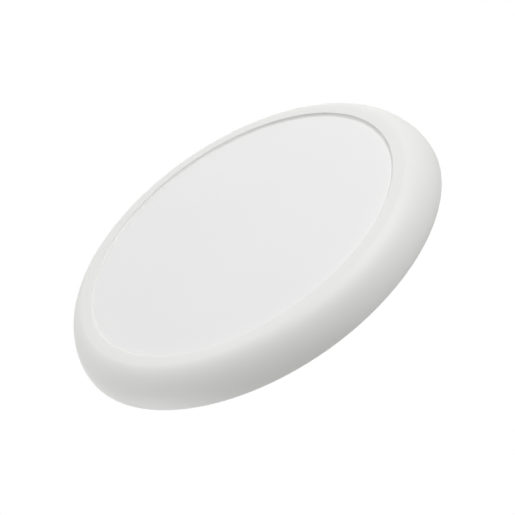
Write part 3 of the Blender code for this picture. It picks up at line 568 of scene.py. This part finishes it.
def powder_coat(name, colour, shadow):
    """Satin powder coat: faint orange peel and a very slight change of tone."""
    graph = Graph(name)
    place = graph.place()
    tone = graph.noise(place, COAT_TONE_SCALE, detail=2.0)
    grain = graph.noise(place, COAT_GRAIN_SCALE, detail=2.0)
    peel = graph.noise(place, COAT_PEEL_SCALE, detail=1.0)
    graph.set(Base_Color=graph.blend(graph.spread(tone, 0.0, 1.0), colour, shadow))
    graph.set(Roughness=graph.spread(grain, *COAT_ROUGHNESS))
    graph.set(Specular_IOR_Level=COAT_SPECULAR)
    graph.set(Normal=graph.bump(peel, COAT_PEEL_DEPTH))
    return graph.material


def lathe_lines(graph, place, pitch):
    """Fine rings left by turning, about the main axis."""
    parts = graph.node("ShaderNodeSeparateXYZ", {"Vector": place})
    across = graph.math("POWER", parts.outputs["X"], 2.0)
    along = graph.math("POWER", parts.outputs["Y"], 2.0)
    radius = graph.math("SQRT", graph.math("ADD", across, along))
    reach = graph.math("ADD", radius, parts.outputs["Z"])
    inputs = {"W": reach, "Scale": 1.0 / pitch, "Detail": 2.0}
    return graph.node("ShaderNodeTexNoise", inputs, noise_dimensions="1D").outputs["Fac"]


def turned_metal(name, colour, tarnish, low, high):
    """Machined metal: turning rings, smudges of tarnish and uneven gloss."""
    graph = Graph(name)
    place = graph.place()
    smudge = graph.noise(place, SMUDGE_SCALE, detail=4.0)
    rings = lathe_lines(graph, place, LATHE_PITCH)
    gloss = graph.math("MULTIPLY", smudge, rings)
    graph.set(Base_Color=graph.blend(graph.spread(smudge, 0.0, 1.0), colour, tarnish))
    graph.set(Roughness=graph.spread(gloss, low, high), Metallic=1.0)
    graph.set(Normal=graph.bump(rings, LATHE_DEPTH))
    return graph.material


def stamped_metal(name, colour, tarnish, low, high, stretch):
    """Sheet metal: grain drawn out along one way, and a soft mottle."""
    graph = Graph(name)
    place = graph.place()
    mapping = graph.node("ShaderNodeMapping", {"Vector": place, "Scale": stretch})
    grain = graph.noise(mapping.outputs["Vector"], SHEET_GRAIN_SCALE, detail=3.0)
    mottle = graph.noise(place, SHEET_MOTTLE_SCALE, detail=5.0)
    graph.set(Base_Color=graph.blend(graph.spread(mottle, 0.0, 1.0), colour, tarnish))
    graph.set(Roughness=graph.spread(grain, low, high), Metallic=1.0)
    graph.set(Normal=graph.bump(grain, SHEET_GRAIN_DEPTH))
    return graph.material


def dull_solder(name):
    """Frozen solder: lumpy skin with grey bloom."""
    graph = Graph(name)
    place = graph.place()
    lumps = graph.noise(place, SOLDER_LUMP_SCALE, detail=3.0)
    bloom = graph.noise(place, SOLDER_BLOOM_SCALE, detail=4.0)
    graph.set(Base_Color=graph.blend(graph.spread(bloom, 0.0, 1.0), *SOLDER_TONES))
    graph.set(Roughness=graph.spread(bloom, *SOLDER_ROUGHNESS), Metallic=1.0)
    graph.set(Normal=graph.bump(lumps, SOLDER_LUMP_DEPTH))
    return graph.material


def make_finishes():
    """One material for each of the record's material slots."""
    made = {}
    for name, tones in COATS.items():
        made[name] = powder_coat(name, *tones)
    made["brass"] = turned_metal("brass", *BRASS)
    for name, values in SHEET_METALS.items():
        made[name] = stamped_metal(name, *values)
    made["solder"] = dull_solder("solder")
    return made


def smooth_group():
    """Shades a mesh smooth across its shallow edges."""
    group = bpy.data.node_groups.new("smooth_by_angle", "GeometryNodeTree")
    group.interface.new_socket("Geometry", in_out="INPUT", socket_type="NodeSocketGeometry")
    group.interface.new_socket("Geometry", in_out="OUTPUT", socket_type="NodeSocketGeometry")
    start = group.nodes.new("NodeGroupInput")
    end = group.nodes.new("NodeGroupOutput")
    angle = group.nodes.new("GeometryNodeInputMeshEdgeAngle")
    shallow = group.nodes.new("FunctionNodeCompare")
    shallow.operation = "LESS_THAN"
    shallow.inputs[1].default_value = CAD_SMOOTH_BELOW
    edges = group.nodes.new("GeometryNodeSetShadeSmooth")
    edges.domain = "EDGE"
    faces = group.nodes.new("GeometryNodeSetShadeSmooth")
    faces.domain = "FACE"
    group.links.new(angle.outputs["Unsigned Angle"], shallow.inputs[0])
    group.links.new(start.outputs[0], edges.inputs["Geometry"])
    group.links.new(shallow.outputs[0], edges.inputs["Shade Smooth"])
    group.links.new(edges.outputs[0], faces.inputs["Geometry"])
    group.links.new(faces.outputs[0], end.inputs[0])
    return group


def dress(piece, finish):
    piece.data.materials.clear()
    piece.data.materials.append(finish)


def dress_cad_nodes(finishes):
    """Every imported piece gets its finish, joined corners and smooth shading."""
    group = smooth_group()
    for row in frame["record"]["subparts"]:
        node = NODES[row["node"]]
        dress(node, finishes[row["material_slot"]])
        joined = node.modifiers.new("weld", "WELD")
        joined.merge_threshold = WELD_REACH
        smooth = node.modifiers.new("smooth", "NODES")
        smooth.node_group = group


# Studio

def make_camera():
    """Stands where the photograph was taken from: below the ceiling, looking up at the cover."""
    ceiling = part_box("trim_ring")[1].z
    centre = Vector((0.0, 0.0, ceiling))
    face = Vector((0.0, 0.0, -1.0))
    side = Vector((0.0, -1.0, 0.0))
    away = side * math.sin(VIEW_OFF_AXIS) + face * math.cos(VIEW_OFF_AXIS)
    up = (face - away * face.dot(away)).normalized()
    right = (-away).cross(up)
    image_right = right * math.cos(VIEW_ROLL) + up * math.sin(VIEW_ROLL)
    image_up = up * math.cos(VIEW_ROLL) - right * math.sin(VIEW_ROLL)
    lens = bpy.data.cameras.new("camera")
    lens.sensor_width = SENSOR_MM
    lens.lens = SENSOR_MM * VIEW_FOCAL_PIXELS / PHOTO_PIXELS
    lens.shift_x = (PHOTO_CENTRE - DISC_PIXEL_X) / PHOTO_PIXELS
    lens.shift_y = (DISC_PIXEL_Y - PHOTO_CENTRE) / PHOTO_PIXELS
    lens.clip_start = VIEW_CLIP
    camera = bpy.data.objects.new("camera", lens)
    bpy.context.scene.collection.objects.link(camera)
    turn = Matrix((image_right, image_up, away)).transposed().to_4x4()
    camera.matrix_world = Matrix.Translation(centre + away * VIEW_DISTANCE) @ turn
    bpy.context.scene.camera = camera


def add_lamp(name, place, size, power):
    lamp = bpy.data.lights.new(name, "AREA")
    lamp.shape = "DISK"
    lamp.size = size
    lamp.energy = power
    light = bpy.data.objects.new(name, lamp)
    bpy.context.scene.collection.objects.link(light)
    light.location = place
    aim = Vector((0.0, 0.0, 0.0)) - Vector(place)
    light.rotation_euler = aim.to_track_quat("-Z", "Y").to_euler()
    light.visible_camera = False


def make_world():
    """Soft white surroundings: white where they are seen or mirrored, gentler as light."""
    world = bpy.data.worlds.new("studio")
    bpy.context.scene.world = world
    world.use_nodes = True
    tree = world.node_tree
    background = tree.nodes["Background"]
    path = tree.nodes.new("ShaderNodeLightPath")
    seen = tree.nodes.new("ShaderNodeMath")
    seen.operation = "MAXIMUM"
    tree.links.new(path.outputs["Is Camera Ray"], seen.inputs[0])
    mirrored = tree.nodes.new("ShaderNodeMath")
    mirrored.operation = "MAXIMUM"
    tree.links.new(path.outputs["Is Glossy Ray"], mirrored.inputs[0])
    tree.links.new(path.outputs["Is Transmission Ray"], mirrored.inputs[1])
    tree.links.new(mirrored.outputs[0], seen.inputs[1])
    place = tree.nodes.new("ShaderNodeTexCoord")
    slope = tree.nodes.new("ShaderNodeVectorMath")
    slope.operation = "DOT_PRODUCT"
    slope.inputs[1].default_value = WORLD_SLOPE
    tree.links.new(place.outputs["Generated"], slope.inputs[0])
    light = tree.nodes.new("ShaderNodeMath")
    light.operation = "ADD"
    light.inputs[1].default_value = WORLD_LIGHT
    tree.links.new(slope.outputs["Value"], light.inputs[0])
    strength = tree.nodes.new("ShaderNodeMapRange")
    tree.links.new(seen.outputs[0], strength.inputs["Value"])
    tree.links.new(light.outputs[0], strength.inputs["To Min"])
    strength.inputs["To Max"].default_value = 1.0
    background.inputs["Color"].default_value = (1.0, 1.0, 1.0, 1.0)
    tree.links.new(strength.outputs["Result"], background.inputs["Strength"])


def make_floor():
    """A pale floor far below the ceiling, which fades into the white surroundings."""
    shape = bmesh.new()
    bmesh.ops.create_circle(shape, cap_ends=True, segments=FLOOR_SIDES, radius=FLOOR_RADIUS)
    floor = add_piece("floor", shape)
    floor.location.z = cad_low.z - FLOOR_DROP
    floor.visible_diffuse = False
    floor.visible_shadow = False
    graph = Graph("floor_pale")
    place = graph.place()
    tone = graph.spread(graph.noise(place, FLOOR_TONE_SCALE), 0.0, 1.0)
    graph.set(Base_Color=graph.blend(tone, *FLOOR_TONES), Roughness=FLOOR_ROUGHNESS)
    reach = graph.node("ShaderNodeVectorMath", {0: place}, operation="LENGTH").outputs["Value"]
    inputs = {"Value": reach, "From Min": FLOOR_FADE[0], "From Max": FLOOR_FADE[1]}
    inputs.update({"To Min": FLOOR_GLOW[0], "To Max": FLOOR_GLOW[1]})
    glow = graph.node("ShaderNodeMapRange", inputs).outputs["Result"]
    graph.set(Emission_Color=(1.0, 1.0, 1.0, 1.0), Emission_Strength=glow)
    dress(floor, graph.material)


all_finishes = make_finishes()
dress_cad_nodes(all_finishes)
dress(make_trim_ring(), all_finishes["white_trim"])
dress(make_cover_plate(), all_finishes["white_cover"])
dress(make_body(), all_finishes["brass"])

make_camera()
make_world()
make_floor()
for values in LAMPS:
    add_lamp(*values)
bpy.context.scene.view_settings.view_transform = "Standard"
